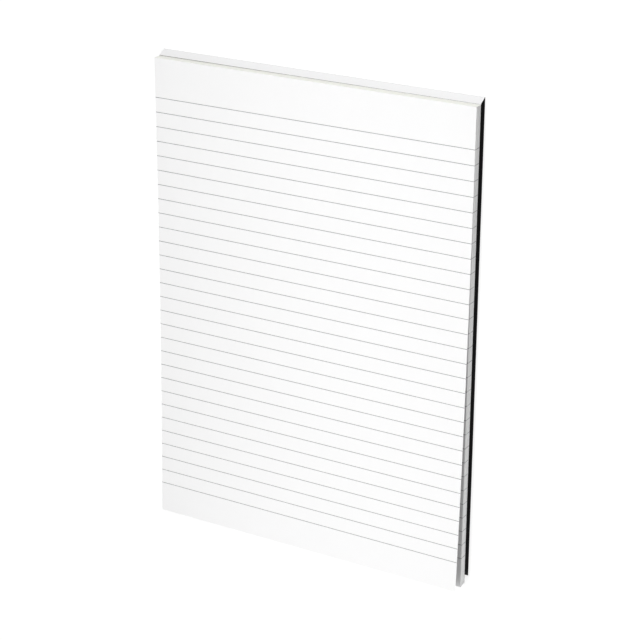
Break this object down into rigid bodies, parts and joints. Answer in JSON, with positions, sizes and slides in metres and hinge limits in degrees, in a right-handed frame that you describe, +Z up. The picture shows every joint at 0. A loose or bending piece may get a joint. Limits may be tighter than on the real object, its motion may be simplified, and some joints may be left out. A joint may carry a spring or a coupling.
{
  "type": "writing pad",
  "caption": "Head-glued A4 writing pad of ruled sheets in a wrap-around card cover, its front folded under.",
  "frame": {"origin": "on the surface that the pad lies on, under the middle of the page, at the underside of the folded-under cover", "axes": "+X to the right across the page, +Y towards the glued head, +Z up out of the ruled page"},
  "size_m": [0.21, 0.3001, 0.0174],
  "materials": {
    "paper": "matt uncoated paper",
    "ink": "matt grey printed rules",
    "adhesive": "thin translucent film",
    "cover_card": "smooth card, black outside and white inside"
  },
  "bodies": {
    "pad": {"paper_block": "paper", "top_sheet": "paper", "ruled_lines": "ink", "head_glue": "adhesive", "back_cover": "cover_card"},
    "spine": {"spine_strip": "cover_card"},
    "cover": {"front_cover": "cover_card"}
  },
  "joints": [
    {"name": "spine_fold", "type": "hinge", "parent": "pad", "child": "spine", "pos_m": [0, 0.1488, 0.0052], "axis": [1, 0, 0], "range_deg": [0, 152.4]},
    {"name": "cover_fold", "type": "hinge", "parent": "spine", "child": "cover", "pos_m": [0, 0.15144, 0.00015], "axis": [1, 0, 0], "range_deg": [0, 206.27]}
  ]
}
